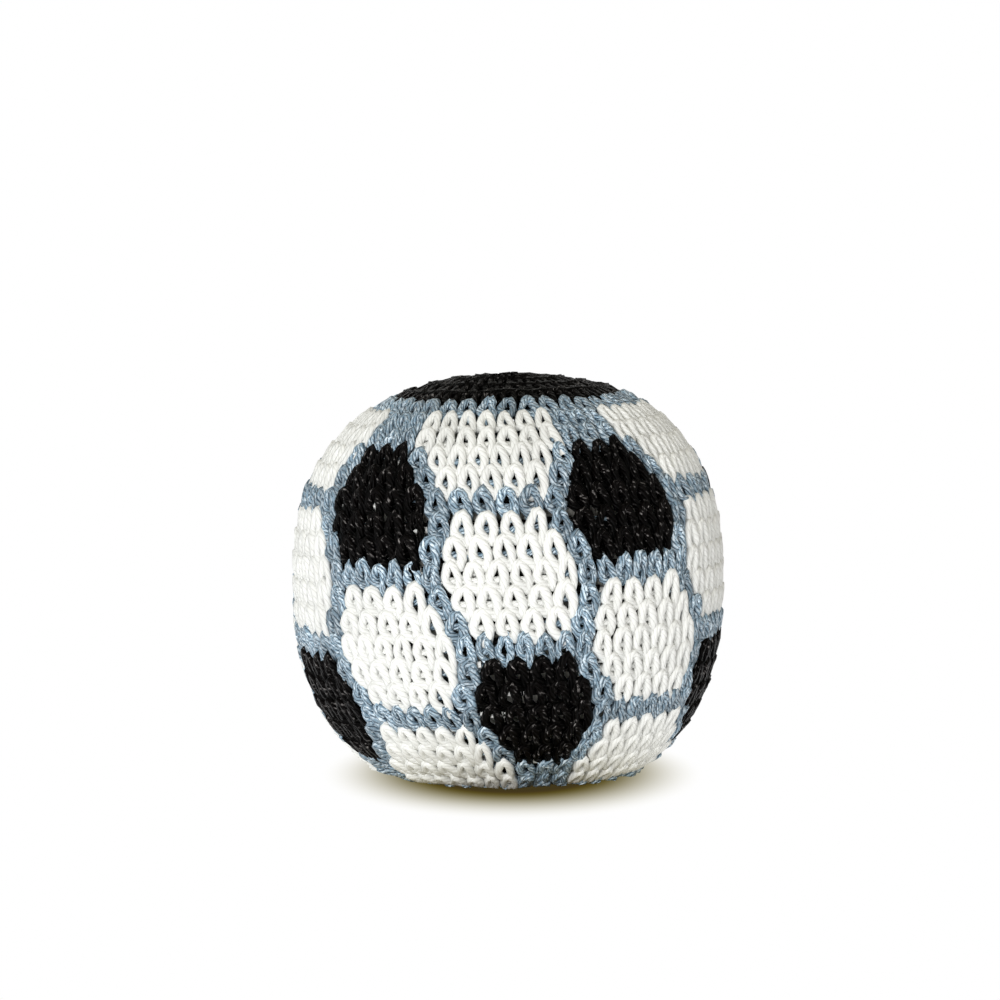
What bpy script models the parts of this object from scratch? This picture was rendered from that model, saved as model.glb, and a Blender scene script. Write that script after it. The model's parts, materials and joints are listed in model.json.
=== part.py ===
"""A crocheted footbag: a soft ball of three yarns, filled with loose pellets.

The cover is worked in rounds from the crown down to the foot. Its colours make the traditional football
pattern: black and white patches with a blue-grey seam of one stitch round each of them. Every patch is a
solid of its own, the seams are one connected net, and the pellets lie inside as a settled heap.

Metres, +Z up. The bag stands on its flat foot at the origin, and its front looks along -Y.
"""

import functools
import math

import bmesh
import bpy
import numpy as np
from mathutils import Matrix, Vector

# The bag as it sits: its width, and the rise of the crown and the drop of the ground from its widest level.
# Below the ground the outline would still go on round for as deep as the foot is pressed flat.
BODY_WIDTH = 0.0580
CROWN_RISE = 0.0276
FOOT_DROP = 0.0260
FOOT_PRESS = 0.0036
CROWN_SHIFT = 0.0010
# The fabric.
YARN_DIAMETER = 0.0012
COVER_THICKNESS = 0.0026
STITCH_RISE = 0.0007
PATCH_GAP = 0.0003
START_RING_WIDTH = 0.0036
CLOSING_KNOT_WIDTH = 0.0036
CLOSING_KNOT_HEIGHT = 0.0019
# The filling, which leaves a hollow of this height between the heap's rim and the crown.
PELLET_DIAMETER = 0.0040
PELLET_SPACING = 0.0060
FILL_HOLLOW = 0.0156
FILL_SWELL = 0.0030
FILL_GAP = 0.0003

# Fullness of the outline: 2 is an ellipse, and more is squarer.
FULLNESS = 2.45
MERIDIAN_POINTS = 2000
# The bag has settled a little: its top is shifted to one side, most at the crown, the pattern leans to the
# other, and each round is turned a little further than the one above it.
SHIFT_POWER = 3
CROWN_LEAN = math.radians(-2.0)
ROUND_TURN = math.radians(1.15)
PATTERN_TURN = math.radians(2.2)

# The pattern. Rounds are counted from the crown, and the foot half mirrors the crown half, turned by half
# a fifth. These are the stitches in a fifth of each round, from the crown down to the middle.
FIFTH_STITCHES = (1, 2, 4, 5, 7, 8, 10, 10, 11, 11, 11, 11, 11, 12, 11)
ROUND_STITCHES = FIFTH_STITCHES + FIFTH_STITCHES[::-1]
ROUNDS = len(ROUND_STITCHES)
FOOT_ROUNDS = 6
FIFTHS = 5
FIFTH = 2 * math.pi / FIFTHS
CAP_ROUNDS = 5
CAP_COLUMNS = 25
# Each kind of patch in the crown half: its first round, its stitches in each of its rounds, the cells
# across it, and its place in the fifth.
WHITE_CROWN = (6, (7, 7, 6, 5), 7, 0)
BLACK_UPPER = (8, (3, 4, 5, 5, 4), 5, FIFTH / 2)
WHITE_UPPER = (11, (4, 5, 6, 5, 4), 5, 0)
# The net's cells along the patches' level edges: above a crown patch, below it, and above and below a
# black one.
CROWN_TOP_CELLS = 6
CROWN_EDGE_CELLS = 4
BLACK_EDGE_CELLS = 3
# Corners of the net that fall on the same line and the same step of a whole turn are one corner.
AZIMUTH_STEPS = 100000

FILL_STEPS = 32
FILL_PROFILE_POINTS = 7
PELLETS = 24
GOLDEN_ANGLE = math.pi * (3 - math.sqrt(5))

YARNS = {
    "white": ((0.86, 0.84, 0.78, 1.0), 0.85),
    "black": ((0.012, 0.010, 0.011, 1.0), 0.80),
    "blue_grey": ((0.17, 0.25, 0.34, 1.0), 0.80),
}
PELLET_FINISH = ((0.72, 0.70, 0.64, 1.0), 0.45)


def clear_scene():
    for obj in list(bpy.data.objects):
        bpy.data.objects.remove(obj, do_unlink=True)


def new_collection(name):
    collection = bpy.data.collections.new(name)
    bpy.context.scene.collection.children.link(collection)
    return collection


def finish(name, colour, roughness):
    material = bpy.data.materials.new(name)
    material.use_nodes = True
    shader = material.node_tree.nodes["Principled BSDF"]
    shader.inputs["Base Color"].default_value = colour
    shader.inputs["Roughness"].default_value = roughness
    shader.inputs["Metallic"].default_value = 0.0
    return material


def add_object(name, bm, material, collection):
    """Makes the named object from a bmesh, and frees the bmesh."""
    mesh = bpy.data.meshes.new(name)
    bm.to_mesh(mesh)
    bm.free()
    mesh.materials.append(material)
    mesh.shade_smooth()
    obj = bpy.data.objects.new(name, mesh)
    collection.objects.link(obj)
    return obj


# The body. A place on it is given by its azimuth, by the rounds down to it from the crown, and by its
# lift from the level of the stitches' crests.


def reach(outward, lift):
    """The distance from the body's middle to its surface in this direction, were it not pressed flat."""
    rise = CROWN_RISE if outward.z > 0 else FOOT_DROP + FOOT_PRESS
    across = math.hypot(outward.x, outward.y) / (BODY_WIDTH / 2 + lift)
    up = abs(outward.z) / (rise + lift)
    return (across**FULLNESS + up**FULLNESS) ** (-1 / FULLNESS)


def surface(outward, lift):
    """The place on the body in this direction. On the ground its outside is level, and its inside stays
    above it by the thickness of the fabric."""
    place = outward * reach(outward, lift)
    place.x += CROWN_SHIFT * max(place.z / CROWN_RISE, 0) ** SHIFT_POWER
    ground = 0 if lift >= -STITCH_RISE else -lift
    place.z = max(place.z + FOOT_DROP, ground)
    return place


@functools.cache
def meridian():
    """Angles from the crown, the length of the cover down to each, and that down to the foot's rim."""
    angles = np.linspace(0, math.pi, MERIDIAN_POINTS)
    places = np.array([surface(Vector((0, -math.sin(a), math.cos(a))), 0) for a in angles])
    steps = np.linalg.norm(np.diff(places, axis=0), axis=1)
    lengths = np.concatenate([[0], np.cumsum(steps)])
    rim = lengths[np.argmax(places[:, 2] <= 0)]
    return angles, lengths, rim


def polar_angle(rounds):
    """The angle from the crown. Rounds are equally high down to the foot's rim, and share the rest."""
    angles, lengths, rim = meridian()
    length = np.interp(rounds, (0, ROUNDS - FOOT_ROUNDS, ROUNDS), (0, rim, lengths[-1]))
    return float(np.interp(length, lengths, angles))


def on_body(azimuth, rounds, lift):
    polar = polar_angle(rounds)
    turned = azimuth + PATTERN_TURN + ROUND_TURN * (rounds - ROUNDS / 2)
    outward = Vector((math.sin(turned), -math.cos(turned), 0)) * math.sin(polar)
    outward.z = math.cos(polar)
    outward.rotate(Matrix.Rotation(CROWN_LEAN, 3, "Y"))
    return surface(outward, lift)


def rounds_along(length, mirrored):
    """How many rounds this length takes up, next to the crown or, where mirrored, on the foot."""
    lengths, rim = meridian()[1:]
    if mirrored:
        return length / (lengths[-1] - rim) * FOOT_ROUNDS
    return length / rim * (ROUNDS - FOOT_ROUNDS)


def gap_angle(rounds):
    """The azimuth that the gap between two patches takes up in this round."""
    polar = polar_angle(rounds)
    return PATCH_GAP / abs(surface(Vector((0, -math.sin(polar), math.cos(polar))), 0).y)


# Each piece of the cover starts as a flat chart of its stitches, whose X is azimuth and whose Y is rounds
# down from the crown. It gets its thickness and its raised stitches there, and is then rolled round the
# body.


def thicken(bm):
    """Turns the flat chart into a plate, with the lift in Z. The middle of each stitch rises to a crest."""
    outside = list(bm.faces)
    made = bmesh.ops.extrude_face_region(bm, geom=outside, use_keep_orig=True)
    inner = [part for part in made["geom"] if isinstance(part, bmesh.types.BMVert)]
    for vert in bm.verts:
        vert.co.z = -STITCH_RISE
    for vert in inner:
        vert.co.z = -COVER_THICKNESS
    for vert in bmesh.ops.poke(bm, faces=outside)["verts"]:
        vert.co = (middle_azimuth(vert), vert.co.y, 0)


def middle_azimuth(vert):
    """The mean azimuth of the corners round this point. The net's corners go on past a whole turn."""
    first, *others = [edge.other_vert(vert).co.x for edge in vert.link_edges]
    ways = [math.remainder(azimuth - first, 2 * math.pi) for azimuth in others]
    return first + sum(ways) / (len(ways) + 1)


def roll(bm, mirrored):
    """Takes the plate to its place on the body. The foot half is the crown half mirrored and turned."""
    for vert in bm.verts:
        azimuth, rounds, lift = vert.co
        if mirrored:
            azimuth, rounds = azimuth + FIFTH / 2, ROUNDS - rounds
        vert.co = on_body(azimuth, rounds, lift)


def face_outwards(bm):
    """Turns the faces of a closed mesh outwards. A thin bowl's volume tells which way it faces."""
    bmesh.ops.recalc_face_normals(bm, faces=bm.faces)
    if bm.calc_volume(signed=True) < 0:
        bmesh.ops.reverse_faces(bm, faces=bm.faces)


def line_width(kind, line):
    """Half the patch's azimuth at a line between two rounds: the mean of the rounds on its two sides.
    At its first and last line, the outline goes on as it came."""
    first, stitches = kind[:2]
    halves = [count / ROUND_STITCHES[first + i] * FIFTH / 2 for i, count in enumerate(stitches)]
    halves = [2 * halves[0] - halves[1], *halves, 2 * halves[-1] - halves[-2]]
    middles = [first + i - 0.5 for i in range(len(halves))]
    return float(np.interp(line, middles, halves))


def outline(kind, rounds):
    """Half the patch's azimuth at any height. The outline runs straight from line to line."""
    line = math.floor(rounds)
    share = rounds - line
    return (1 - share) * line_width(kind, line) + share * line_width(kind, line + 1)


def last_line(kind):
    return kind[0] + len(kind[1])


def add_patch(name, kind, fifth, mirrored, material, collection):
    """A white or black patch, its edges drawn in from the seam by the gap."""
    first, stitches, columns, place = kind
    rows = len(stitches)
    gap = rounds_along(PATCH_GAP, mirrored)
    bm = bmesh.new()
    bmesh.ops.create_grid(bm, x_segments=columns, y_segments=rows, size=1)
    for vert in bm.verts:
        line = first + round((1 + vert.co.y) / 2 * rows)
        rounds = min(max(line, first + gap), last_line(kind) - gap)
        half = outline(kind, rounds) - gap_angle(rounds)
        vert.co = (FIFTH * fifth + place + vert.co.x * half, rounds, 0)
    thicken(bm)
    roll(bm, mirrored)
    face_outwards(bm)
    return add_object(name, bm, material, collection)


def add_cap(name, hole_width, mirrored, material, collection):
    """The black patch in the middle of the crown or foot, worked round a small hole."""
    bm = bmesh.new()
    bmesh.ops.create_grid(bm, x_segments=CAP_COLUMNS, y_segments=CAP_ROUNDS, size=1)
    inner = rounds_along(hole_width / 2 + PATCH_GAP, mirrored)
    outer = CAP_ROUNDS - rounds_along(PATCH_GAP, mirrored)
    for vert in bm.verts:
        line = round((1 + vert.co.y) / 2 * CAP_ROUNDS)
        vert.co = (math.pi * vert.co.x, min(max(line, inner), outer), 0)
    thicken(bm)
    end_walls = [f for f in bm.faces if all(abs(abs(v.co.x) - math.pi) < gap_angle(1) for v in f.verts)]
    bmesh.ops.delete(bm, geom=end_walls, context="FACES")
    roll(bm, mirrored)
    bmesh.ops.remove_doubles(bm, verts=bm.verts, dist=PATCH_GAP / 100)
    face_outwards(bm)
    return add_object(name, bm, material, collection)


class Net:
    """The chart of the seam net, built bay by bay. Bays that touch share their corners."""

    def __init__(self):
        self.bm = bmesh.new()
        self.corners = {}

    def corner(self, azimuth, line, mirrored):
        if mirrored:
            azimuth, line = azimuth + FIFTH / 2, ROUNDS - line
        key = (round(azimuth / (2 * math.pi) * AZIMUTH_STEPS) % AZIMUTH_STEPS, line)
        if key not in self.corners:
            self.corners[key] = self.bm.verts.new((azimuth, line, 0))
        return self.corners[key]

    def bay(self, line, upper, lower, mirrored):
        """Stitches of one round side by side, or a three-cornered one where the upper edge is a point."""
        top = [self.corner(azimuth, line, mirrored) for azimuth in upper]
        bottom = [self.corner(azimuth, line + 1, mirrored) for azimuth in lower]
        if len(top) != len(bottom):
            self.bm.faces.new(top + bottom[::-1])
            return
        for i in range(len(top) - 1):
            self.bm.faces.new((top[i], top[i + 1], bottom[i + 1], bottom[i]))

    def side_seams(self, line, middle, inner_widths, outer_widths, mirrored):
        """The seams on both sides of a patch, from its outline to those of its neighbours."""
        for side in (-1, 1):
            edges = [
                sorted((middle + side * near, middle + side * far))
                for near, far in zip(inner_widths, outer_widths)
            ]
            self.bay(line, *edges, mirrored)

    def level_seam(self, line, middle, cells, edge_widths, outer_widths, mirrored):
        """The seam below a patch and above the next one, with a corner stitch at each end."""
        rows = [
            [middle - far, *spread(middle, near, cells), middle + far]
            for near, far in zip(edge_widths, outer_widths)
        ]
        self.bay(line, *rows, mirrored)


def spread(middle, half, cells):
    return [middle + half * (2 * i / cells - 1) for i in range(cells + 1)]


def widths(kind, *lines):
    return [line_width(kind, line) for line in lines]


def beyond(kind, *lines):
    """From the middle of a fifth to the outline of a patch in the middle of the next."""
    return [FIFTH / 2 - line_width(kind, line) for line in lines]


def add_fifth_of_net(net, fifth, mirrored):
    """The net in one fifth of the crown half, round by round."""
    front = FIFTH * fifth
    side = front + FIFTH / 2
    crown_line, black_line, white_line = WHITE_CROWN[0], BLACK_UPPER[0], WHITE_UPPER[0]
    # Round the cap, and down between two crown patches.
    lines = range(crown_line, black_line)
    necks = [spread(side, far, BLACK_EDGE_CELLS) for far in beyond(WHITE_CROWN, *lines)]
    ring = spread(front, line_width(WHITE_CROWN, crown_line), CROWN_TOP_CELLS) + necks[0][1:]
    net.bay(CAP_ROUNDS, ring, ring, mirrored)
    for i in range(len(necks) - 1):
        net.bay(crown_line + i, necks[i], necks[i + 1], mirrored)
    # Above the black patch, with a three-cornered stitch at each end.
    apex = spread(side, line_width(BLACK_UPPER, black_line), BLACK_EDGE_CELLS)
    corner = beyond(WHITE_CROWN, black_line)[0]
    neck = necks[-1]
    net.bay(black_line - 1, neck, apex, mirrored)
    net.bay(black_line - 1, neck[:1], [side - corner, apex[0]], mirrored)
    net.bay(black_line - 1, neck[-1:], [apex[-1], side + corner], mirrored)
    # Between the crown patch and the black one.
    for line in range(black_line, last_line(WHITE_CROWN)):
        lines = (line, line + 1)
        net.side_seams(line, front, widths(WHITE_CROWN, *lines), beyond(BLACK_UPPER, *lines), mirrored)
    # Below the crown patch.
    line = last_line(WHITE_CROWN)
    edges = widths(WHITE_CROWN, line) + widths(WHITE_UPPER, white_line)
    outer = beyond(BLACK_UPPER, line, white_line)
    net.level_seam(line, front, CROWN_EDGE_CELLS, edges, outer, mirrored)
    # Between the black patch and the upper white one.
    for line in range(white_line, last_line(BLACK_UPPER)):
        lines = (line, line + 1)
        net.side_seams(line, front, widths(WHITE_UPPER, *lines), beyond(BLACK_UPPER, *lines), mirrored)
    # Below the black patch, down to the first of the foot half's white patches.
    line = last_line(BLACK_UPPER)
    edges = widths(BLACK_UPPER, line) + widths(WHITE_UPPER, ROUNDS - line - 1)
    outer = beyond(WHITE_UPPER, line, line + 1)
    net.level_seam(line, side, BLACK_EDGE_CELLS, edges, outer, mirrored)
    # Between that patch and the upper white one, as far as the middle.
    for line in range(line + 1, ROUNDS // 2):
        lines = (line, line + 1)
        facing = beyond(WHITE_UPPER, *(ROUNDS - other for other in lines))
        net.side_seams(line, front, widths(WHITE_UPPER, *lines), facing, mirrored)


def add_seam_net(name, material, collection):
    net = Net()
    for fifth in range(FIFTHS):
        for mirrored in (False, True):
            add_fifth_of_net(net, fifth, mirrored)
    thicken(net.bm)
    roll(net.bm, False)
    face_outwards(net.bm)
    return add_object(name, net.bm, material, collection)


def add_start_ring(name, material, collection):
    """The loop of yarn at the crown that the first round is worked into."""
    bpy.ops.mesh.primitive_torus_add(
        major_radius=(START_RING_WIDTH - YARN_DIAMETER) / 2,
        minor_radius=YARN_DIAMETER / 2,
        major_segments=16,
        minor_segments=8,
        location=on_body(0, 0, -YARN_DIAMETER),
        rotation=(0, CROWN_LEAN, 0),
    )
    ring = bpy.context.object
    ring.name = name
    ring.data.name = name
    ring.data.materials.append(material)
    ring.data.shade_smooth()
    for holder in list(ring.users_collection):
        holder.objects.unlink(ring)
    collection.objects.link(ring)
    return ring


def add_closing_knot(name, material, collection):
    """The knot that closes the last round: a dome whose underside lies level with the foot."""
    bm = bmesh.new()
    bmesh.ops.create_uvsphere(bm, u_segments=16, v_segments=8, radius=1)
    half = CLOSING_KNOT_WIDTH / 2
    for vert in bm.verts:
        vert.co = (vert.co.x * half, vert.co.y * half, max(vert.co.z, 0) * CLOSING_KNOT_HEIGHT)
    knot = add_object(name, bm, material, collection)
    knot.location = on_body(0, ROUNDS, 0)
    return knot


def heap_height(share):
    """The height of the heap's top at this share of the way from its middle to its rim."""
    return FOOT_DROP + CROWN_RISE - FILL_HOLLOW + FILL_SWELL * (1 - share**2)


def fill_profile():
    """Half the outline of the heap, from the middle of its top out to the rim and down to the foot."""
    lift = -COVER_THICKNESS - FILL_GAP
    rim_height = CROWN_RISE - FILL_HOLLOW
    rise = CROWN_RISE + lift
    rim = (BODY_WIDTH / 2 + lift) * (1 - (rim_height / rise) ** FULLNESS) ** (1 / FULLNESS)
    shares = [i / FILL_PROFILE_POINTS for i in range(FILL_PROFILE_POINTS + 1)]
    top = [(rim * share, heap_height(share)) for share in shares]
    start = math.atan2(rim, rim_height)
    wall = []
    for share in shares[1:]:
        angle = start + (math.pi - start) * share
        place = surface(Vector((math.sin(angle), 0, math.cos(angle))), lift)
        wall.append((place.x, place.z))
    return rim, top + wall


def add_pellets(rim, cutters):
    """The pellets on top of the heap, laid out as in a sunflower."""
    turn = PELLET_SPACING / math.sqrt(math.pi)
    for i in range(PELLETS):
        away = turn * math.sqrt(i + 0.5)
        if away > rim - PELLET_DIAMETER:
            break
        angle = GOLDEN_ANGLE * i
        height = heap_height(away / rim)
        bm = bmesh.new()
        place = Matrix.Translation((away * math.cos(angle), away * math.sin(angle), height))
        bmesh.ops.create_icosphere(bm, subdivisions=2, radius=PELLET_DIAMETER / 2, matrix=place)
        mesh = bpy.data.meshes.new("pellet")
        bm.to_mesh(mesh)
        bm.free()
        pellet = bpy.data.objects.new(f"pellet_{i + 1}", mesh)
        pellet.hide_render = True
        pellet.display_type = "WIRE"
        cutters.objects.link(pellet)


def add_pellet_fill(name, material, collection, cutters):
    """The settled heap of pellets: a turned solid with the uppermost pellets standing out of its top."""
    rim, points = fill_profile()
    bm = bmesh.new()
    verts = [bm.verts.new((x, 0, z)) for x, z in points]
    for upper, lower in zip(verts, verts[1:]):
        bm.edges.new((upper, lower))
    heap = add_object(name, bm, material, collection)
    turn = heap.modifiers.new("turned", "SCREW")
    turn.steps = turn.render_steps = FILL_STEPS
    turn.use_merge_vertices = True
    turn.merge_threshold = 0.00001
    turn.use_smooth_shade = True
    add_pellets(rim, cutters)
    join = heap.modifiers.new("pellets", "BOOLEAN")
    join.operation = "UNION"
    join.operand_type = "COLLECTION"
    join.collection = cutters
    return heap


def main():
    clear_scene()
    bag = new_collection("footbag")
    cutters = new_collection("pellet_shapes")
    yarns = {yarn: finish(f"{yarn}_yarn", *look) for yarn, look in YARNS.items()}
    kinds = (
        ("white", "crown", "foot", WHITE_CROWN),
        ("white", "upper", "lower", WHITE_UPPER),
        ("black", "upper", "lower", BLACK_UPPER),
    )
    for colour, above, below, kind in kinds:
        for mirrored, height in ((False, above), (True, below)):
            for fifth in range(FIFTHS):
                name = f"{colour}_{height}_patch_{fifth + 1}"
                add_patch(name, kind, fifth, mirrored, yarns[colour], bag)
    add_cap("black_crown_patch", START_RING_WIDTH, False, yarns["black"], bag)
    add_cap("black_foot_patch", CLOSING_KNOT_WIDTH, True, yarns["black"], bag)
    add_seam_net("seam_net", yarns["blue_grey"], bag)
    add_start_ring("start_ring", yarns["black"], bag)
    add_closing_knot("closing_knot", yarns["black"], bag)
    add_pellet_fill("pellet_fill", finish("pellets", *PELLET_FINISH), bag, cutters)


main()
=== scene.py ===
# %% [markdown]
# # Dressing a crocheted footbag
#
# A footbag is a soft ball of yarn with loose pellets inside. This one is worked in single crochet, in
# rounds from the crown down to the foot, with three yarns that make the traditional football pattern.
# The solid model already gives every patch its place. Here each patch gets what the real one is made
# of: loops of twisted yarn, one for every stitch, over the yarns that are carried along behind them.

import functools
import json
import math
import random

import bpy
import numpy as np
from mathutils import Matrix, Vector

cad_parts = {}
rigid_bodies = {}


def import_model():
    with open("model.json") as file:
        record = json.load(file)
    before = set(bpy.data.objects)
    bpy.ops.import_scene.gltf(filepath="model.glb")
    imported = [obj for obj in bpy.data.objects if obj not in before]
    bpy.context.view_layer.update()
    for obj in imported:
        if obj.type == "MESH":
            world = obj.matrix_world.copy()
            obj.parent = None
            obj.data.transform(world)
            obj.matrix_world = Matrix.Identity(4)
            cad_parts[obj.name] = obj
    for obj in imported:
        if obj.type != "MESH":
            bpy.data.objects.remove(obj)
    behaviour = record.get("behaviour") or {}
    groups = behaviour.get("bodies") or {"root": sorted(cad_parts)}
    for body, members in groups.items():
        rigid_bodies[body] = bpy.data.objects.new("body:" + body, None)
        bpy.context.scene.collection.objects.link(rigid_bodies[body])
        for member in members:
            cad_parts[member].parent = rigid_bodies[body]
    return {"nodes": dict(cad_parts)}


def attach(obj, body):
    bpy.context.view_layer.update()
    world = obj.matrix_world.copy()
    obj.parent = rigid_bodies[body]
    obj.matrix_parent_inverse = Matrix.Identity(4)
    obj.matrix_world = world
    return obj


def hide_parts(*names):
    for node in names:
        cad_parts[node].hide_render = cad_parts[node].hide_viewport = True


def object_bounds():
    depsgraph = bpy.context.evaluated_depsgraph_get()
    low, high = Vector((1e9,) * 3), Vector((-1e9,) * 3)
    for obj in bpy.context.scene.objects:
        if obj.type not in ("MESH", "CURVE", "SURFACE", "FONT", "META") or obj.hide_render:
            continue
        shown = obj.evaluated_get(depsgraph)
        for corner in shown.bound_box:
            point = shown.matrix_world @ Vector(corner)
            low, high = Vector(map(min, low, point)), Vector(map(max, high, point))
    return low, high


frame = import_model()
cad_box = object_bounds()
cad_size = [round(v * 1000, 1) for v in cad_box[1] - cad_box[0]]
print("solid model:", len(frame["nodes"]), "pieces,", cad_size, "mm")

# %% [markdown]
# ## The shape of the bag
#
# The bag is a squarish ball that has settled: the ground presses its foot flat, its top is shifted a
# little to one side, and its pattern leans the other way. A place on it is given as a crocheter would:
# how far round, how many rounds down from the crown, and how far out from the crests of the stitches.
# The rounds are equally high from the crown to the rim of the foot, and the last six share the flat.

# %% The body
# Rise and drop are counted from the body's middle. Unpressed, the foot would reach down by FOOT_CURVE.
# A fullness of 2 would be an ellipsoid, and a larger one is squarer.
BODY_WIDTH = 0.0580
CROWN_RISE = 0.0276
FOOT_DROP = 0.0260
FOOT_CURVE = 0.0296
CROWN_SHIFT = 0.0010
SHIFT_POWER = 3
FULLNESS = 2.45
CROWN_LEAN = math.radians(-2.0)
ROUND_TURN = math.radians(1.15)
PATTERN_TURN = math.radians(2.2)
MERIDIAN_POINTS = 2000
FIFTH_STITCHES = (1, 2, 4, 5, 7, 8, 10, 10, 11, 11, 11, 11, 11, 12, 11)
ROUND_STITCHES = FIFTH_STITCHES + FIFTH_STITCHES[::-1]
ROUNDS = len(ROUND_STITCHES)
FOOT_ROUNDS = 6
FIFTHS = 5
FIFTH = 2 * math.pi / FIFTHS


def surface(outward, lift):
    """The place in this direction from the body's middle, this far out from the crests."""
    rise = CROWN_RISE if outward.z > 0 else FOOT_CURVE
    across = math.hypot(outward.x, outward.y) / (BODY_WIDTH / 2 + lift)
    up = abs(outward.z) / (rise + lift)
    place = outward * (across**FULLNESS + up**FULLNESS) ** (-1 / FULLNESS)
    place.x += CROWN_SHIFT * max(place.z / CROWN_RISE, 0) ** SHIFT_POWER
    place.z = max(place.z + FOOT_DROP, -lift)
    return place


@functools.cache
def meridian():
    """Angles from the crown, the length of the cover down to each, and that down to the foot's rim."""
    angles = np.linspace(0, math.pi, MERIDIAN_POINTS)
    places = np.array([surface(Vector((0, -math.sin(a), math.cos(a))), 0) for a in angles])
    steps = np.linalg.norm(np.diff(places, axis=0), axis=1)
    lengths = np.concatenate([[0], np.cumsum(steps)])
    rim = lengths[np.argmax(places[:, 2] <= 0)]
    return angles, lengths, rim


def on_body(azimuth, rounds, lift):
    """The place this far round, this many rounds down, and this far out from the crests."""
    angles, lengths, rim = meridian()
    length = np.interp(rounds, (0, ROUNDS - FOOT_ROUNDS, ROUNDS), (0, rim, lengths[-1]))
    polar = float(np.interp(length, lengths, angles))
    turned = azimuth + PATTERN_TURN + ROUND_TURN * (rounds - ROUNDS / 2)
    outward = Vector((math.sin(turned), -math.cos(turned), 0)) * math.sin(polar)
    outward.z = math.cos(polar)
    outward.rotate(Matrix.Rotation(CROWN_LEAN, 3, "Y"))
    return surface(outward, lift)


cover_length = round(meridian()[1][-1] * 1000, 1)
print("from crown to foot the cover is", cover_length, "mm long, in", ROUNDS, "rounds")

# %% [markdown]
# ## The camera, the floor and the light
#
# The photograph is taken from a little above the bag's middle, with a long lens, on white. Its light
# comes from the left and the front, so the crown and the right side are dimmer and creamier. A white sky
# that is dimmer overhead and at both sides does the same, with two lamps to the left of the camera, one
# of them as low as the ground, because the bag's underside is bright too. The ground is as white as the
# background and keeps only a soft oval of shadow under the bag. So the floor doesn't wait for light: it
# glows white by itself and fades to nearly black under the bag. Blue fades first and red last on the way
# in, which gives the shadow its warm brown rim.

# %% Camera
BAG_MIDDLE = Vector((0, 0, FOOT_DROP))
CAMERA_DISTANCE = 0.450
CAMERA_RISE = math.radians(5)
PIXELS_ACROSS = 1000
PIXELS_OF_FOCUS = 3348
MIDDLE_PIXEL = (508, 579)
SENSOR = 36

camera_data = bpy.data.cameras.new("camera")
camera = bpy.data.objects.new("camera", camera_data)
bpy.context.scene.collection.objects.link(camera)
camera_data.sensor_width = SENSOR
camera_data.lens = SENSOR * PIXELS_OF_FOCUS / PIXELS_ACROSS
camera_data.shift_x = 0.5 - MIDDLE_PIXEL[0] / PIXELS_ACROSS
camera_data.shift_y = MIDDLE_PIXEL[1] / PIXELS_ACROSS - 0.5
towards_camera = Vector((0, -math.cos(CAMERA_RISE), math.sin(CAMERA_RISE)))
camera.location = BAG_MIDDLE + CAMERA_DISTANCE * towards_camera
camera.rotation_euler = (math.pi / 2 - CAMERA_RISE, 0, 0)
bpy.context.scene.camera = camera
print("lens", round(camera_data.lens, 1), "mm")

# %% Wiring nodes


class Wiring:
    """Adds nodes to a tree and joins them, so that a tree reads as a list of steps."""

    def __init__(self, tree):
        self.tree = tree

    def node(self, kind, inputs=(), **settings):
        """A node with these settings. Each input is a value, or another node's output."""
        made = self.tree.nodes.new(kind)
        for name, value in settings.items():
            setattr(made, name, value)
        for key, value in dict(inputs).items():
            self.join(value, made.inputs[key])
        return made

    def join(self, value, socket):
        if isinstance(value, bpy.types.NodeSocket):
            self.tree.links.new(value, socket)
        else:
            socket.default_value = value

    def math(self, operation, *values):
        return self.node("ShaderNodeMath", enumerate(values), operation=operation).outputs[0]

    def vector(self, operation, first, second):
        """Maths on two vectors, or on a vector and a number where the operation is SCALE."""
        inputs = {0: first, "Scale" if operation == "SCALE" else 1: second}
        return self.node("ShaderNodeVectorMath", inputs, operation=operation).outputs[0]

    def combine(self, *parts):
        """A vector or a colour of these parts."""
        return self.node("ShaderNodeCombineXYZ", enumerate(parts)).outputs[0]

    def split(self, vector):
        """The three parts of a vector."""
        return self.node("ShaderNodeSeparateXYZ", {0: vector}).outputs

    def mix(self, share, first, second):
        """The first colour where the share is 0, and the second where it is 1."""
        inputs = {"Fac": share, "Color1": first, "Color2": second}
        return self.node("ShaderNodeMixRGB", inputs).outputs[0]

    def between(self, value, start, end, **settings):
        """0 up to the start, 1 from the end on, and rising between them. The end may be the lower one."""
        inputs = {"Value": value, "From Min": start, "From Max": end}
        return self.node("ShaderNodeMapRange", inputs, **settings).outputs[0]


def add_material(name):
    """An empty node material, its Principled shader and the wiring of its tree."""
    material = bpy.data.materials.new(name)
    material.use_nodes = True
    return material, material.node_tree.nodes["Principled BSDF"], Wiring(material.node_tree)


print("ready to wire")

# %% Floor, sky and lamps
FLOOR_SIZE = 40.0
SHADOW_SHIFT = 0.001
SHADOW_NARROWNESS = 1.62
# For red, green and blue: the glow in the darkest shadow, how far that reaches, and where the shadow ends.
SHADOW_GLOWS = ((0.053, 0.0180, 0.0415), (0.038, 0.0184, 0.0416), (0.012, 0.0202, 0.0420))
BLACK = (0, 0, 0, 1)
WHITE = (1, 1, 1, 1)
# The sky's dimmer sides: the axis along which each dims, from where to where, and its colour there.
SKY_SIDES = {
    "right": (0, 0.2, 0.8, (0.10, 0.085, 0.055, 1)),
    "left": (0, -0.3, -0.8, (0.35, 0.40, 0.43, 1)),
    "top": (2, 0.1, 0.8, (0.64, 0.62, 0.55, 1)),
}
# For each lamp: its place, its width and its watts.
LAMPS = {
    "main": ((-0.40, -0.78, 0.20), 0.30, 1.5),
    "low": ((-0.20, -0.84, 0.0), 0.30, 5.2),
}


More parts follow.
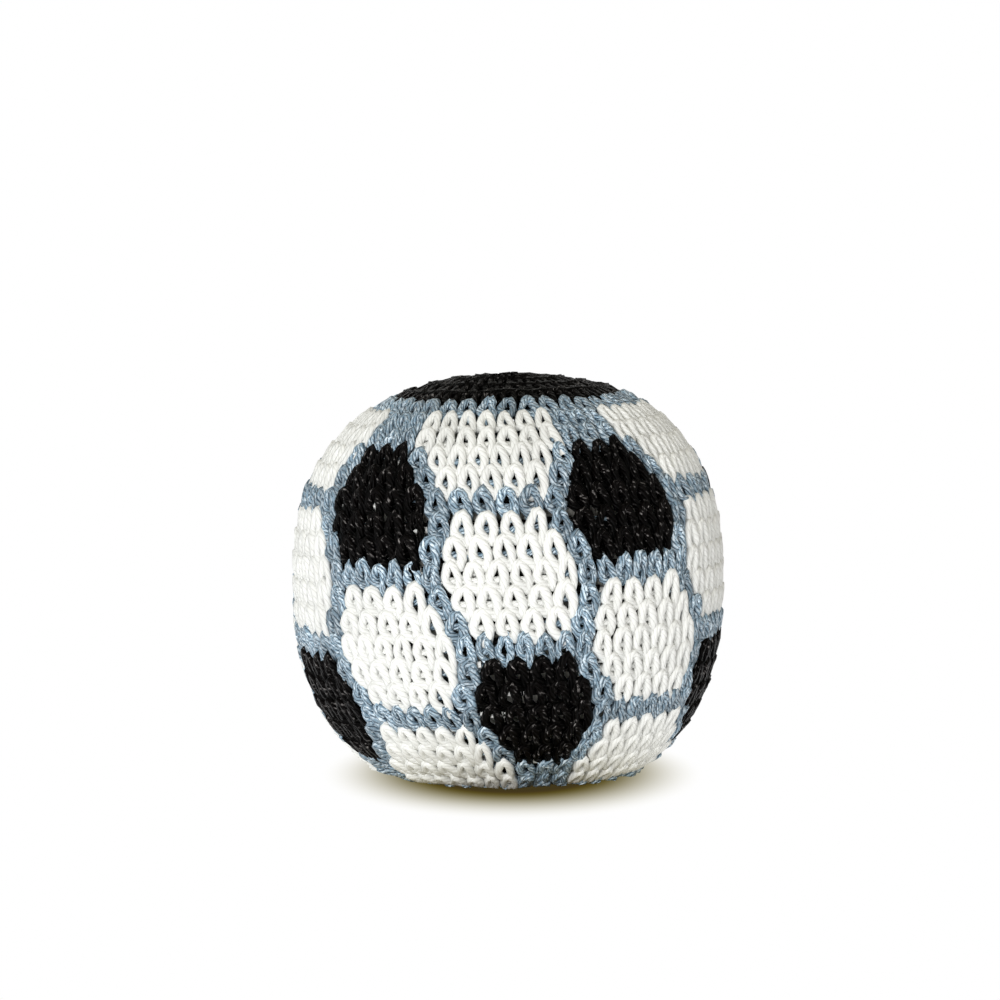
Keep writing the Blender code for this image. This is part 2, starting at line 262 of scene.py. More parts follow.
def add_floor():
    """A floor that glows white, like a photographer's table, with a soft warm shadow painted into its glow.
    """
    bpy.ops.mesh.primitive_plane_add(size=FLOOR_SIZE)
    floor = bpy.context.object
    floor.name = "floor"
    material, shader, wire = add_material("floor")
    place = wire.split(wire.node("ShaderNodeTexCoord").outputs["Object"])
    aside = wire.math("MULTIPLY_ADD", place[0], SHADOW_NARROWNESS, -SHADOW_SHIFT)
    squares = wire.math("ADD", wire.math("POWER", aside, 2), wire.math("POWER", place[1], 2))
    away = wire.math("SQRT", squares)
    glows = []
    for darkest, dark, clear in SHADOW_GLOWS:
        light = wire.between(away, dark, clear, interpolation_type="SMOOTHSTEP")
        glows.append(wire.math("MULTIPLY_ADD", light, 1 - darkest, darkest))
    wire.join(wire.combine(*glows), shader.inputs["Emission Color"])
    shader.inputs["Emission Strength"].default_value = 1.0
    shader.inputs["Base Color"].default_value = BLACK
    shader.inputs["Specular IOR Level"].default_value = 0.0
    floor.data.materials.append(material)


def add_sky():
    """A white sky that dims towards its sides and its top."""
    world = bpy.data.worlds.new("studio")
    world.use_nodes = True
    wire = Wiring(world.node_tree)
    direction = wire.split(wire.node("ShaderNodeTexCoord").outputs["Generated"])
    colour = WHITE
    for axis, start, end, dim in SKY_SIDES.values():
        colour = wire.mix(wire.between(direction[axis], start, end), colour, dim)
    wire.join(colour, world.node_tree.nodes["Background"].inputs["Color"])
    bpy.context.scene.world = world
    bpy.context.scene.view_settings.view_transform = "Standard"


def add_lamp(name, place, width, watts):
    """A square lamp that faces the bag."""
    data = bpy.data.lights.new(name, "AREA")
    data.size = width
    data.energy = watts
    lamp = bpy.data.objects.new(name, data)
    lamp.location = place
    lamp.rotation_euler = (Vector(place) - BAG_MIDDLE).to_track_quat("Z", "Y").to_euler()
    bpy.context.scene.collection.objects.link(lamp)


add_floor()
add_sky()
for lamp_name, settings in LAMPS.items():
    add_lamp(lamp_name, *settings)
print(len(LAMPS), "lamps")

# %% [markdown]
# ## The pattern
#
# Each kind of patch is five copies round the bag, and its rows widen or narrow by a stitch or so.
# What lies between the patches of a round is the blue-grey seam, and the first and last five rounds are
# the black patches of the crown and the foot. The foot half repeats the crown half upside down, turned
# by half a fifth. A crocheter never leaves a gap in a round: the seam's stitches share out the room that
# the patches leave, so they are a little wider or narrower than the others.

# %% The stitches of each round
CAP_ROUNDS = 5
# A seam of more than a few stitches is fitted to the patch above it, which may be off its middle by no
# more than this share of a stitch.
FEW_SEAMS = 4
STILL_BELOW = 0.25
# For each kind of patch: its first round, the stitches of its rows, how far round its first copy is, and
# whether its rounds are counted from the foot.
PATCHES = {
    "white_crown_patch": (6, (7, 7, 6, 5), 0, False),
    "white_foot_patch": (6, (7, 7, 6, 5), 0, True),
    "black_upper_patch": (8, (3, 4, 5, 5, 4), FIFTH / 2, False),
    "black_lower_patch": (8, (3, 4, 5, 5, 4), FIFTH / 2, True),
    "white_upper_patch": (11, (4, 5, 6, 5, 4), 0, False),
    "white_lower_patch": (11, (4, 5, 6, 5, 4), 0, True),
}


def patch_rows(number):
    """(middle, patch, stitches) of each patch that has stitches in this round, in order round the bag."""
    rows = []
    for kind, (first, stitches, place, mirrored) in PATCHES.items():
        row = (ROUNDS - 1 - number if mirrored else number) - first
        if 0 <= row < len(stitches):
            for fifth in range(FIFTHS):
                middle = place + FIFTH * (fifth + (0.5 if mirrored else 0))
                rows.append((middle % (2 * math.pi), f"{kind}_{fifth + 1}", stitches[row]))
    return sorted(rows)


def seams_in(room, pitch, middle, above):
    """The seam stitches in this room. Many of them lie between the stitches of the patch above."""
    seams = max(1, round(room / pitch))
    for patch_middle, patch, count in above:
        below_it = abs(math.remainder(middle - patch_middle, 2 * math.pi)) < pitch * STILL_BELOW
        if below_it and seams > FEW_SEAMS and (seams - count) % 2 == 0:
            seams += 1
    return seams


def stitches_of(number):
    """(piece, azimuth, width in usual stitches, last of its patch's row) for each stitch of a round."""
    total = ROUND_STITCHES[number] * FIFTHS
    pitch = 2 * math.pi / total
    rows = patch_rows(number)
    if not rows:
        cap = "black_crown_patch" if number < ROUNDS / 2 else "black_foot_patch"
        piece = cap if min(number, ROUNDS - 1 - number) < CAP_ROUNDS else "seam_net"
        return [(piece, pitch * i, 1, False) for i in range(total)]
    found = []
    for i, (middle, patch, count) in enumerate(rows):
        for k in range(count):
            found.append((patch, middle + pitch * (k - (count - 1) / 2), 1, k == count - 1))
        start = middle + pitch * count / 2
        following = rows[(i + 1) % len(rows)]
        end = following[0] - pitch * following[2] / 2
        room = (end - start) % (2 * math.pi)
        seams = seams_in(room, pitch, start + room / 2, patch_rows(number - 1))
        for k in range(seams):
            found.append(("seam_net", start + room * (k + 0.5) / seams, room / seams / pitch, False))
    return found


work = {}
for number in range(ROUNDS):
    for piece, azimuth, width, is_last in stitches_of(number):
        work.setdefault(piece, []).append((number, azimuth, width, is_last))
print(len(work), "pieces,", sum(len(stitches) for stitches in work.values()), "stitches")

# %% [markdown]
# ## Yarn
#
# The yarn is spun from a few plies that wind round each other. Their grooves are painted dark, as shade,
# and their backs get painted highlights in slanting streaks. The streaks follow the yarn, so the material
# reads two values that are stored on the yarn's own surface: how far along it a point is, and how far
# round. A third one
# differs from stitch to stitch, so that each is a little paler or darker and has fibres of its own.
#
# The tops of the loops stand out and the legs lie deeper, in the shade of the stitches round them. That
# shows most in black yarn, where the rounds are told apart by little else. So the colour also darkens,
# as painted shade, from the middle of a stitch's yarn towards both ends, by a share that each yarn has.

# %% Yarn materials
PLIES = 5
PLY_LENGTH = 0.0048
PLY_DEPTH = 0.00022
PLY_ROUNDNESS = 0.6
FIBRES_PER_PLY = 1.4
FIBRE_DETAIL = 3.0
FIBRE_ROUGHNESS = 0.6
STITCH_SHUFFLE = 50
BLOTCHES_PER_METRE = 240
BLOTCH_DETAIL = 2.0
# A stitch takes this much yarn, and painted shade darkens it between two shares of the way from middle to
# end.
STITCH_YARN = 0.0100
LEGS_START = 0.2
LEGS_END = 0.7


def yarn_colour(wire, look, ridge, fibres, tone):
    """Painted shade in the grooves, paler on the plies' backs, and painted highlights where fibres catch
    light.
    """
    depth = wire.between(ridge, 0.0, look["groove_width"])
    base = wire.mix(depth, look["groove"], look["back"])
    # Painted highlights: the streak colour where the fibres' noise is strong, on the plies' backs.
    lit = wire.math("MULTIPLY", wire.between(fibres, look["streak_from"], look["streak_to"]), depth)
    streaked = wire.mix(lit, base, look["streak"])
    return wire.vector("MULTIPLY", streaked, wire.combine(tone, tone, tone))


def wound(wire, around, along, stitch):
    """The plies counted on through every turn, and how high on its ply's back a point is, from 0 to 1."""
    turn = wire.math("DIVIDE", wire.math("ARCTAN2", around[1], around[0]), 2 * math.pi)
    twist = wire.math("MULTIPLY_ADD", along, 1 / PLY_LENGTH, stitch)
    ply = wire.math("MULTIPLY", wire.math("ADD", turn, twist), PLIES)
    across = wire.math("MULTIPLY_ADD", wire.math("FRACT", ply), 2, -1)
    return ply, wire.math("SUBTRACT", 1, wire.math("MULTIPLY", across, across))


def tone_and_leg_shade(wire, along, stitch, look):
    """How bright the yarn is: it differs from stitch to stitch and in blotches, and painted shade darkens
    the legs.
    """
    place = wire.node("ShaderNodeTexCoord").outputs["Object"]
    noise = {"Vector": place, "Scale": BLOTCHES_PER_METRE, "Detail": BLOTCH_DETAIL}
    blotches = wire.node("ShaderNodeTexNoise", noise).outputs["Fac"]
    both = wire.math("MULTIPLY_ADD", wire.math("ADD", stitch, blotches), look["tone"], 1 - look["tone"])
    # Painted shade: darker from the loop's top towards the ends of the stitch's yarn, where the legs lie.
    from_top = wire.math("ABSOLUTE", wire.math("MULTIPLY_ADD", along, 2 / STITCH_YARN, -1))
    legs = wire.between(from_top, LEGS_START, LEGS_END)
    return wire.math("MULTIPLY", both, wire.math("MULTIPLY_ADD", legs, -look["leg_shade"], 1))


def yarn_material(name, look):
    """A spun yarn, from the three values that its surface carries."""
    material, shader, wire = add_material(name)
    around = wire.node("ShaderNodeAttribute", attribute_name="yarn_round").outputs["Vector"]
    along = wire.node("ShaderNodeAttribute", attribute_name="yarn_along").outputs["Fac"]
    stitch = wire.node("ShaderNodeAttribute", attribute_name="stitch_tone").outputs["Fac"]
    ply, ridge = wound(wire, wire.split(around), along, stitch)
    fibre_place = wire.combine(
        wire.math("MULTIPLY", ply, FIBRES_PER_PLY),
        wire.math("MULTIPLY", along, look["fibres_per_metre"]),
        wire.math("MULTIPLY", stitch, STITCH_SHUFFLE),
    )
    noise = {"Vector": fibre_place, "Scale": 1.0, "Detail": FIBRE_DETAIL, "Roughness": FIBRE_ROUGHNESS}
    fibres = wire.node("ShaderNodeTexNoise", noise).outputs["Fac"]
    tone = tone_and_leg_shade(wire, along, stitch, look)
    wire.join(yarn_colour(wire, look, ridge, fibres, tone), shader.inputs["Base Color"])
    back = wire.math("POWER", ridge, PLY_ROUNDNESS)
    height = wire.math("MULTIPLY_ADD", fibres, look["fibre_height"], back)
    bump =wire.node("ShaderNodeBump", {"Height": height, "Distance": PLY_DEPTH, "Strength": look["bump"]})
    wire.join(bump.outputs[0], shader.inputs["Normal"])
    shader.inputs["Roughness"].default_value = look["roughness"]
    shader.inputs["Specular IOR Level"].default_value = look["gloss"]
    return material


# A streak is a painted highlight, which fades in between two strengths of the fibres' noise, and groove is
# the painted shade in the grooves. Tone is how much brightness differs, and leg_shade how much painted
# shade the legs get. A fibre's height is a share of its ply's.
LOOKS = {
    "white": {
        "groove": (0.68, 0.68, 0.65, 1), "back": (0.82, 0.825, 0.80, 1),
        "streak": (0.90, 0.905, 0.885, 1),
        "groove_width": 0.5, "streak_from": 0.45, "streak_to": 0.75, "fibres_per_metre": 500,
        "tone": 0.08, "leg_shade": 0.06, "fibre_height": 0.4, "bump": 0.35,
        "roughness": 0.7, "gloss": 0.3,
    },
    "black": {
        "groove": (0.0004, 0.0003, 0.0003, 1), "back": (0.0020, 0.0014, 0.0013, 1),
        "streak": (0.46, 0.43, 0.42, 1),
        "groove_width": 0.7, "streak_from": 0.59, "streak_to": 0.80, "fibres_per_metre": 1800,
        "tone": 0.50, "leg_shade": 0.85, "fibre_height": 0.8, "bump": 1.0,
        "roughness": 0.4, "gloss": 0.05,
    },
    "blue_grey": {
        "groove": (0.040, 0.068, 0.105, 1), "back": (0.205, 0.305, 0.390, 1),
        "streak": (0.74, 0.85, 0.93, 1),
        "groove_width": 0.7, "streak_from": 0.46, "streak_to": 0.66, "fibres_per_metre": 1800,
        "tone": 0.6, "leg_shade": 0.15, "fibre_height": 0.7, "bump": 0.9,
        "roughness": 0.35, "gloss": 0.6,
    },
}
YARNS = {yarn: yarn_material(f"{yarn}_yarn", look) for yarn, look in LOOKS.items()}
print(len(YARNS), "yarns")

# %% [markdown]
# ## One stitch, worked over and over
#
# Seen from outside, a stitch worked downwards is a drop of yarn: a round loop at the top, laid over the
# stitches of the round above, and two legs that leave a small hole between them. Under the hole the left
# leg turns in sharply and meets the right one, so they end in a tooth that hangs over the next round and
# goes in under it. One such path is given point by point. Geometry Nodes sweep the yarn along it, set it
# on every seat of a patch, and then shift the yarn a little here and there, as hands do.
#
# A path and a tree are better here than a modelled stitch in a modifier array: the seats can sit on any
# curved body, each stitch is a little different, and its yarn knows its own length, for the material.

# %% The paths that the yarn follows
YARN_DIAMETER = 0.00126
STITCH_WIDTH = 0.0032
STITCH_HEIGHT = 0.0032
# Shares of the stitch's width, of its height, and of the yarn's diameter, counted out from the crests.
STITCH_SHARES = (
    (0.16, -0.80, -1.25),
    (0.06, -0.64, -0.92),
    (-0.08, -0.51, -0.78),
    (-0.22, -0.38, -0.70),
    (-0.30, -0.20, -0.63),
    (-0.26, 0.00, -0.56),
    (-0.19, 0.20, -0.51),
    (-0.12, 0.38, -0.50),
    (0.00, 0.46, -0.50),
    (0.12, 0.38, -0.50),
    (0.19, 0.20, -0.51),
    (0.26, 0.00, -0.56),
    (0.31, -0.20, -0.61),
    (0.31, -0.38, -0.67),
    (0.27, -0.56, -0.78),
    (0.21, -0.80, -1.20),
)
# A carried strand reaches a little past both sides of its stitch, so that the strands of a round join up.
STRAND_REACH = 0.55
STRAND_SHARES = ((-STRAND_REACH, 0, 0), (0, 0, 0), (STRAND_REACH, 0, 0))


def add_guide(name, shares, width=STITCH_WIDTH, height=STITCH_HEIGHT, depth=YARN_DIAMETER, closed=False):
    """A smooth curve through these places, which the yarn follows."""
    data = bpy.data.curves.new(name, "CURVE")
    data.dimensions = "3D"
    spline = data.splines.new("BEZIER")
    spline.bezier_points.add(len(shares) - 1)
    spline.use_cyclic_u = closed
    for point, (x, y, z) in zip(spline.bezier_points, shares):
        point.co = (x * width, y * height, z * depth)
        point.handle_left_type = point.handle_right_type = "AUTO"
    guide = bpy.data.objects.new(name, data)
    bpy.context.scene.collection.objects.link(guide)
    return guide


stitch_guide = add_guide("stitch_guide", STITCH_SHARES)
strand_guide = add_guide("strand_guide", STRAND_SHARES)
print(len(STITCH_SHARES), "points guide a stitch")

# %% The tree that works the stitches
TREE_INPUTS = (
    ("Guide", "NodeSocketObject"),
    ("Yarn", "NodeSocketMaterial"),
    ("Yarn Diameter", "NodeSocketFloat"),
    ("Sides", "NodeSocketInt"),
    ("Steps", "NodeSocketInt"),
    ("Unevenness", "NodeSocketFloat"),
    ("Seed", "NodeSocketInt"),
)
DRIFTS_PER_METRE = 420
DRIFT_DETAIL = 1.0
NOISE_MIDDLE = (0.5, 0.5, 0.5)
# The lower limits of a point's place. Only the third, the height of the ground, is ever reached.
LOWEST = (-1.0, -1.0, 0.0)


def new_tree(name, inputs):
    """A Geometry Nodes tree with these named inputs, its wiring, and the outputs of its input node."""
    tree = bpy.data.node_groups.new(name, "GeometryNodeTree")
    tree.is_modifier = True
    tree.interface.new_socket("Geometry", in_out="INPUT", socket_type="NodeSocketGeometry")
    for label, kind in inputs:
        tree.interface.new_socket(label, in_out="INPUT", socket_type=kind)
    tree.interface.new_socket("Geometry", in_out="OUTPUT", socket_type="NodeSocketGeometry")
    wire = Wiring(tree)
    return tree, wire, wire.node("NodeGroupInput").outputs


def remember(wire, geometry, name, value, kind="FLOAT", domain="POINT"):
    """Stores the value on the geometry, under this name."""
    inputs = {"Geometry": geometry, "Name": name, "Value": value}
    return wire.node("GeometryNodeStoreNamedAttribute", inputs, data_type=kind, domain=domain).outputs[0]


def end_tree(wire, geometry, material):
    """The last steps of a tree: smooth faces, in this material."""
    smooth = wire.node("GeometryNodeSetShadeSmooth", {"Geometry": geometry}).outputs[0]
    finished = wire.node("GeometryNodeSetMaterial", {"Geometry": smooth, "Material": material}).outputs[0]
    wire.node("NodeGroupOutput", {0: finished})


def swept_yarn(wire, given):
    """A tube along the guide that remembers how far along and how far round it each point is."""
    guide = wire.node("GeometryNodeObjectInfo", {"Object": given["Guide"]}).outputs["Geometry"]
    path = wire.node("GeometryNodeResampleCurve", {"Curve": guide, "Count": given["Steps"]}).outputs[0]
    spline = wire.node("GeometryNodeSplineParameter").outputs
    path = remember(wire, path, "yarn_along", spline["Length"])
    radius = wire.math("MULTIPLY", given["Yarn Diameter"], 0.5)
    circle = {"Resolution": given["Sides"], "Radius": radius}
    ring = wire.node("GeometryNodeCurvePrimitiveCircle", circle).outputs[0]
    angle = wire.math("MULTIPLY", spline["Factor"], 2 * math.pi)
    turn = wire.combine(wire.math("COSINE", angle), wire.math("SINE", angle))
    ring = remember(wire, ring, "yarn_round", turn, kind="FLOAT_VECTOR")
    swept = {"Curve": path, "Profile Curve": ring, "Fill Caps": True}
    return wire.node("GeometryNodeCurveToMesh", swept).outputs[0]


def set_on_seats(wire, given, yarn):
    """A copy of the yarn on each seat, turned and sized as the seat's own values say."""
    outward, along, size = (
        wire.node("GeometryNodeInputNamedAttribute", {"Name": name}, data_type="FLOAT_VECTOR").outputs[0]
        for name in ("outward", "along_round", "size")
    )
    axes = {0: outward, 1: along}
    axes = wire.node("FunctionNodeAxesToRotation", axes, primary_axis="Z", secondary_axis="X").outputs[0]
    copies = {"Points": given["Geometry"], "Instance": yarn, "Rotation": axes, "Scale": size}
    seats = wire.node("GeometryNodeInstanceOnPoints", copies).outputs[0]
    tone = wire.node("FunctionNodeRandomValue", {"Seed": given["Seed"]}, data_type="FLOAT").outputs[1]
    seats = remember(wire, seats, "stitch_tone", tone, domain="INSTANCE")
    return wire.node("GeometryNodeRealizeInstances", {"Geometry": seats}).outputs[0]


def drifted(wire, given, geometry):
    """No two stitches are alike: the yarn drifts from its seat, and nothing goes through the ground."""
    place = wire.node("GeometryNodeInputPosition").outputs[0]
    noise = {"Vector": place, "W": given["Seed"], "Scale": DRIFTS_PER_METRE, "Detail": DRIFT_DETAIL}
    drift = wire.node("ShaderNodeTexNoise", noise, noise_dimensions="4D").outputs["Color"]
    drift = wire.vector("SCALE", wire.vector("SUBTRACT", drift, NOISE_MIDDLE), given["Unevenness"])
    moved = wire.node("GeometryNodeSetPosition", {"Geometry": geometry, "Offset": drift}).outputs[0]
    raised = {"Geometry": moved, "Position": wire.vector("MAXIMUM", place, LOWEST)}
    return wire.node("GeometryNodeSetPosition", raised).outputs[0]


def stitch_tree():
    """Swept yarn on every seat of a piece, drifted a little."""
    tree, wire, given = new_tree("worked_stitches", TREE_INPUTS)
    stitches = set_on_seats(wire, given, swept_yarn(wire, given))
    end_tree(wire, drifted(wire, given, stitches), given["Yarn"])
    return tree


STITCHES = stitch_tree()
print("the stitch tree has", len(STITCHES.nodes), "nodes")

# %% Making a piece with a tree
YARN_SIDES = 6
YARN_STEPS = 14
UNEVENNESS = {"white": 0.0006, "black": 0.0008, "blue_grey": 0.0013}


def add_seats(name, seats):
    """A mesh of bare points, one for each seat, that carry what the tree reads."""
    mesh = bpy.data.meshes.new(name)
    mesh.from_pydata([seat[0] for seat in seats], [], [])
    for attribute, column in (("outward", 1), ("along_round", 2), ("size", 3)):
        values = mesh.attributes.new(attribute, "FLOAT_VECTOR", "POINT")
        values.data.foreach_set("vector", np.array([seat[column] for seat in seats], float).ravel())
    points = bpy.data.objects.new(name, mesh)
    bpy.context.scene.collection.objects.link(points)
    return points


def made_plain(name, carrier, tree, values):
    """The tree's result on the carrier as an object of its own. The carrier is removed."""
    modifier = carrier.modifiers.new("tree", "NODES")
    modifier.node_group = tree
    for socket in tree.interface.items_tree:
        if socket.in_out == "INPUT" and socket.name in values:
            modifier[socket.identifier] = values[socket.name]
    bpy.context.view_layer.update()
    evaluated = carrier.evaluated_get(bpy.context.evaluated_depsgraph_get())
    mesh = bpy.data.meshes.new_from_object(evaluated)
    bpy.data.objects.remove(carrier)
    mesh.name = name
    piece = bpy.data.objects.new(name, mesh)
    bpy.context.scene.collection.objects.link(piece)
    return piece


def worked(name, seats, yarn, guide, seed, **changes):
    """A piece of yarn set on the seats."""
    values = {
        "Guide": guide,
        "Yarn": YARNS[yarn],
        "Yarn Diameter": YARN_DIAMETER,
        "Sides": YARN_SIDES,
        "Steps": YARN_STEPS,
        "Unevenness": UNEVENNESS[yarn],
        "Seed": seed,
    }
    changed = {label.replace("_", " "): value for label, value in changes.items()}
    return made_plain(name, add_seats(name, seats), STITCHES, values | changed)


def dress(piece, slot, *nodes):
    """The piece is part of the bag, and stands for these nodes of the solid model."""
    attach(piece, "root")
    if nodes:
        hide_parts(*nodes)


print("a piece of yarn has", YARN_SIDES, "sides and", YARN_STEPS - 1, "steps")

# %% [markdown]
# ## The patches and the seams
#
# A white or black stitch is one firm yarn. The last stitch of a patch's row is looser and taller, because
# the yarn changes colour there. The blue-grey yarn is spun so softly that it splits: each of its stitches
# is worked as two thinner strands that lie across each other, and both tilt more than firm yarn does.

# %% The stitches of the patches and of the seams
LAST_STITCH = 1.20
HEIGHT_CHANGE = 0.08
WIDTH_CHANGE = 0.06
TILT = 0.13
LOOSE_TILT = 0.28
LOOSE_STRAND = 0.00112
HAND_SEED = 7
hand = random.Random(HAND_SEED)


def seat_at(azimuth, rounds, stitches, lift):
    """A seat's place, the way out, the way along the round, a stitch's width and a round's height."""
    half = math.pi / stitches
    place = on_body(azimuth, rounds, lift)
    along = on_body(azimuth + half, rounds, lift) - on_body(azimuth - half, rounds, lift)
    down = on_body(azimuth, rounds + 0.5, lift) - on_body(azimuth, rounds - 0.5, lift)
    outward = down.cross(along).normalized()
    height = outward.cross(along.normalized()).dot(-down)
    return place, outward, along.normalized(), along.length, height


def seats_of(stitches, tilt=TILT):
    """The seats of these stitches, each a little different in size and tilt."""
    seats = []
    for number, azimuth, width, is_last in stitches:
        total = ROUND_STITCHES[number] * FIFTHS
        place, outward, along, wide, high = seat_at(azimuth, number + 0.5, total, 0)
        loose = LAST_STITCH if is_last else 1
        wide *= width * (1 + hand.uniform(-WIDTH_CHANGE, WIDTH_CHANGE))
        high *= loose * (1 + hand.uniform(-HEIGHT_CHANGE, HEIGHT_CHANGE))
        along.rotate(Matrix.Rotation(hand.uniform(-tilt, tilt), 3, outward))
        seats.append((place, outward, along, (wide / STITCH_WIDTH, high / STITCH_HEIGHT, 1 / loose)))
    return seats


def yarn_of(piece):
    return "blue_grey" if piece == "seam_net" else piece.split("_")[0]


for seed, (piece_name, stitches) in enumerate(sorted(work.items())):
    yarn = yarn_of(piece_name)
    if yarn == "blue_grey":
        seats, changes = seats_of(stitches + stitches, LOOSE_TILT), {"Yarn_Diameter": LOOSE_STRAND}
    else:
        seats, changes = seats_of(stitches), {}
    piece = worked(f"{piece_name}_stitches", seats, yarn, stitch_guide, seed, **changes)
    dress(piece, f"{yarn}_yarn", piece_name)
faces = sum(len(obj.data.polygons) for obj in bpy.data.objects if obj.name.endswith("_stitches"))
print(len(work), "pieces of", faces, "faces in all")

# %% [markdown]
# ## The yarns behind the stitches
#
# Only one yarn is worked at a time, and the other two are carried along inside the stitches until it is
# their turn. In the last rows of the crown's white patches and the first rows of those below them, they
# show at the bottom of the little holes, as blue-grey under a dark edge. The other rounds are drawn
# tighter, and most of their holes show only white yarn, except in the loose last stitch of a row. In the
# black patches the carried yarns show as a few pale specks.
#
# The crown is seen at a flat angle, over its rounds. What one sees there is the chain that tops each
# stitch: it lies along the round, and the chains of a round make a level ridge. One more strand for each
# stitch of the crown, laid over the loops and not behind them, does that. Two more black ones behind
# close the gaps, which are wider there, where few stitches share a round.

# %% Carried yarns
STRAND_DIAMETER = 0.0011
STRAND_SIDES = 5
STRAND_STEPS = 4
OPEN_ROUNDS = range(8, 13)
# For each kind of stitch, the strands: how often each one shows in a stitch, its share of the round's
# height from the middle up, and its lift in yarn diameters. Where it doesn't show, black lies there.
CARRIED = {
    "white": (("blue_grey", 1.0, -0.16, -1.15), ("black", 1.0, 0.16, -1.70)),
    "tight_white": (("white", 1.0, -0.26, -1.05), ("white", 0.5, 0.08, -1.45)),
    "black_crown": (
        ("black", 1.0, 0.20, -0.36), ("white", 0.03, -0.10, -1.15), ("blue_grey", 0.16, 0.10, -1.35),
        ("black", 1.0, 0.38, -1.30), ("black", 1.0, -0.36, -1.30),
    ),
    "black": (("white", 0.08, -0.10, -1.15), ("blue_grey", 0.16, 0.10, -1.35)),
    "blue_grey": (("blue_grey", 0.85, -0.16, -1.15), ("white", 0.2, 0.18, -1.20)),
}


def behind(piece, number, is_last):
    """Which row of the table holds for this stitch."""
    if number < CAP_ROUNDS:
        return "black_crown"
    is_tight = yarn_of(piece) == "white" and number not in OPEN_ROUNDS and not is_last
    return "tight_white" if is_tight else yarn_of(piece)


def carried_seats():
    """For each yarn, the seats of the strands of it that are carried behind other yarns."""
    seats = {yarn: [] for yarn in YARNS}
    for piece, stitches in sorted(work.items()):
        for number, azimuth, width, is_last in stitches:
            total = ROUND_STITCHES[number] * FIFTHS
            for yarn, chance, height_share, lift in CARRIED[behind(piece, number, is_last)]:
                rounds = number + 0.5 - height_share
                seat = seat_at(azimuth, rounds, total, lift * YARN_DIAMETER)
                size = (seat[3] * width / STITCH_WIDTH, 1, 1)
                shown = yarn if hand.random() < chance else "black"
                seats[shown].append((*seat[:3], size))
    return seats


for seed, (yarn, seats) in enumerate(sorted(carried_seats().items())):
    name = f"carried_{yarn}_yarn"
    changes = {"Yarn_Diameter": STRAND_DIAMETER, "Sides": STRAND_SIDES, "Steps": STRAND_STEPS}
    piece = worked(name, seats, yarn, strand_guide, seed, **changes)
    dress(piece, f"{yarn}_yarn")
    print(name, "has", len(seats), "strands")

# %% [markdown]
# ## The first loop and the last knot
#
# The first round is worked into a small ring of yarn at the crown. After the last round the yarn is
# drawn through it and tied off, which leaves a small knot in the middle of the foot.

# %% Start ring and closing knot
START_RING_WIDTH = 0.0036
RING_YARN = 0.0012
RING_POINTS = 12
KNOT_WIDTH = 0.0036
KNOT_HEIGHT = 0.0019
KNOT_YARN = 0.0009
KNOT_POINTS = 24
TIED_SIDES = 10
TIED_STEPS = 60


def ring_shares():
    """A plain ring."""
    turns = (2 * math.pi * i / RING_POINTS for i in range(RING_POINTS))
    return [(math.cos(turn), math.sin(turn), 0) for turn in turns]


def knot_shares():
    """An overhand knot: the yarn goes round twice and through itself three times."""
    shares = []
    for i in range(KNOT_POINTS):
        turn = 2 * math.pi * i / KNOT_POINTS
        away = (2 + math.cos(3 * turn)) / 3
        shares.append((away * math.cos(2 * turn), away * math.sin(2 * turn), math.sin(3 * turn)))
    return shares


def tied(name, guide, place, yarn_diameter):
    """A single piece of black yarn along a guide, at this place."""
    seats = [(place, Vector((0, 0, 1)), Vector((1, 0, 0)), (1, 1, 1))]
    changes = {"Yarn_Diameter": yarn_diameter, "Sides": TIED_SIDES, "Steps": TIED_STEPS, "Unevenness": 0.0}
    return worked(f"{name}_yarn", seats, "black", guide, 0, **changes)


ring_radius = (START_RING_WIDTH - RING_YARN) / 2
ring_guide = add_guide("ring_guide", ring_shares(), ring_radius, ring_radius, ring_radius, closed=True)
piece = tied("start_ring", ring_guide, on_body(0, 0, -RING_YARN), RING_YARN)
dress(piece, "black_yarn", "start_ring")
knot_radius = (KNOT_WIDTH - KNOT_YARN) / 2
knot_rise = (KNOT_HEIGHT - KNOT_YARN) / 2
knot_guide = add_guide("knot_guide", knot_shares(), knot_radius, knot_radius, knot_rise, closed=True)
knot_place = on_body(0, ROUNDS, 0) + Vector((0, 0, KNOT_HEIGHT / 2))
piece = tied("closing_knot", knot_guide, knot_place, KNOT_YARN)
dress(piece, "black_yarn", "closing_knot")
print("ring and knot are tied")

# %% [markdown]
# ## The filling
#
# The bag is three quarters full of small round plastic pellets. Only those at the surface of the heap
# could ever be seen, so they are scattered over the solid heap's own surface and pressed into it.

# %% Pellets
PELLET_DIAMETER = 0.0040
# So many pellets are strewn that only their spacing, a share of their diameter, sets how many stay.
PELLETS_PER_AREA = 1e6
PELLET_SPACING = 0.8
BALL_SUBDIVISIONS = 2
HEAP_SEED = 3
PELLET_DULL = (0.60, 0.58, 0.52, 1)
PELLET_PALE = (0.80, 0.79, 0.74, 1)
PELLET_ROUGHNESS = 0.45
CLOUDS_PER_METRE = 150.0
CLOUD_DETAIL = 2.0
HEAP_INPUTS = (
    ("Pellet", "NodeSocketMaterial"),
    ("Diameter", "NodeSocketFloat"),
    ("Seed", "NodeSocketInt"),
)


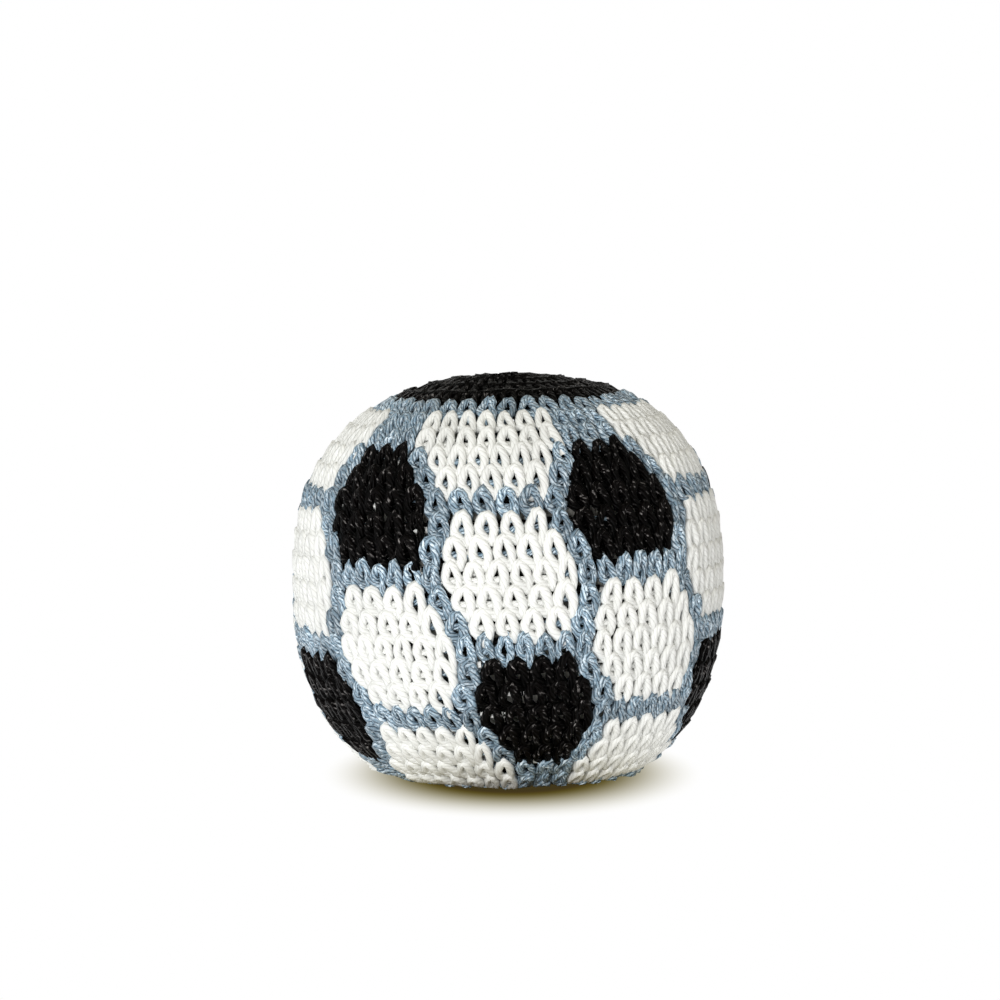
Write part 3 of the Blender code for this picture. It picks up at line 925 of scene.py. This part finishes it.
def heap_tree():
    """Pellets on the surface of what carries the tree, drawn in so that they don't stand out of it."""
    tree, wire, given = new_tree("pellet_heap", HEAP_INPUTS)
    spread = {
        "Mesh": given["Geometry"],
        "Distance Min": wire.math("MULTIPLY", given["Diameter"], PELLET_SPACING),
        "Density Max": PELLETS_PER_AREA,
        "Seed": given["Seed"],
    }
    spots = wire.node("GeometryNodeDistributePointsOnFaces", spread, distribute_method="POISSON").outputs
    radius = wire.math("MULTIPLY", given["Diameter"], 0.5)
    ball = {"Radius": radius, "Subdivisions": BALL_SUBDIVISIONS}
    ball = wire.node("GeometryNodeMeshIcoSphere", ball).outputs[0]
    inward = wire.vector("SCALE", spots["Normal"], wire.math("MULTIPLY", radius, -1))
    drawn = wire.node("GeometryNodeSetPosition", {"Geometry": spots["Points"], "Offset": inward}).outputs[0]
    heap = wire.node("GeometryNodeInstanceOnPoints", {"Points": drawn, "Instance": ball}).outputs[0]
    heap = wire.node("GeometryNodeRealizeInstances", {"Geometry": heap}).outputs[0]
    end_tree(wire, heap, given["Pellet"])
    return tree


def pellet_material():
    """Milky plastic, no two spots of it quite the same."""
    material, shader, wire = add_material("pellets")
    place = wire.node("ShaderNodeTexCoord").outputs["Object"]
    noise = {"Vector": place, "Scale": CLOUDS_PER_METRE, "Detail": CLOUD_DETAIL}
    cloud = wire.node("ShaderNodeTexNoise", noise).outputs["Fac"]
    wire.join(wire.mix(cloud, PELLET_DULL, PELLET_PALE), shader.inputs["Base Color"])
    shader.inputs["Roughness"].default_value = PELLET_ROUGHNESS
    return material


solid = frame["nodes"]["pellet_fill"]
carrier = bpy.data.objects.new("heap", solid.data.copy())
carrier.matrix_world = solid.matrix_world
bpy.context.scene.collection.objects.link(carrier)
values = {"Pellet": pellet_material(), "Diameter": PELLET_DIAMETER, "Seed": HEAP_SEED}
piece = made_plain("pellets", carrier, heap_tree(), values)
piece.data.transform(solid.matrix_world)
dress(piece, "pellets", "pellet_fill")
print(len(piece.data.polygons), "faces of pellets")

# %% [markdown]
# ## Clearing up
#
# The guides only showed the yarn its way, so they are taken out.

# %% The end
for guide in (stitch_guide, strand_guide, ring_guide, knot_guide):
    bpy.data.objects.remove(guide)
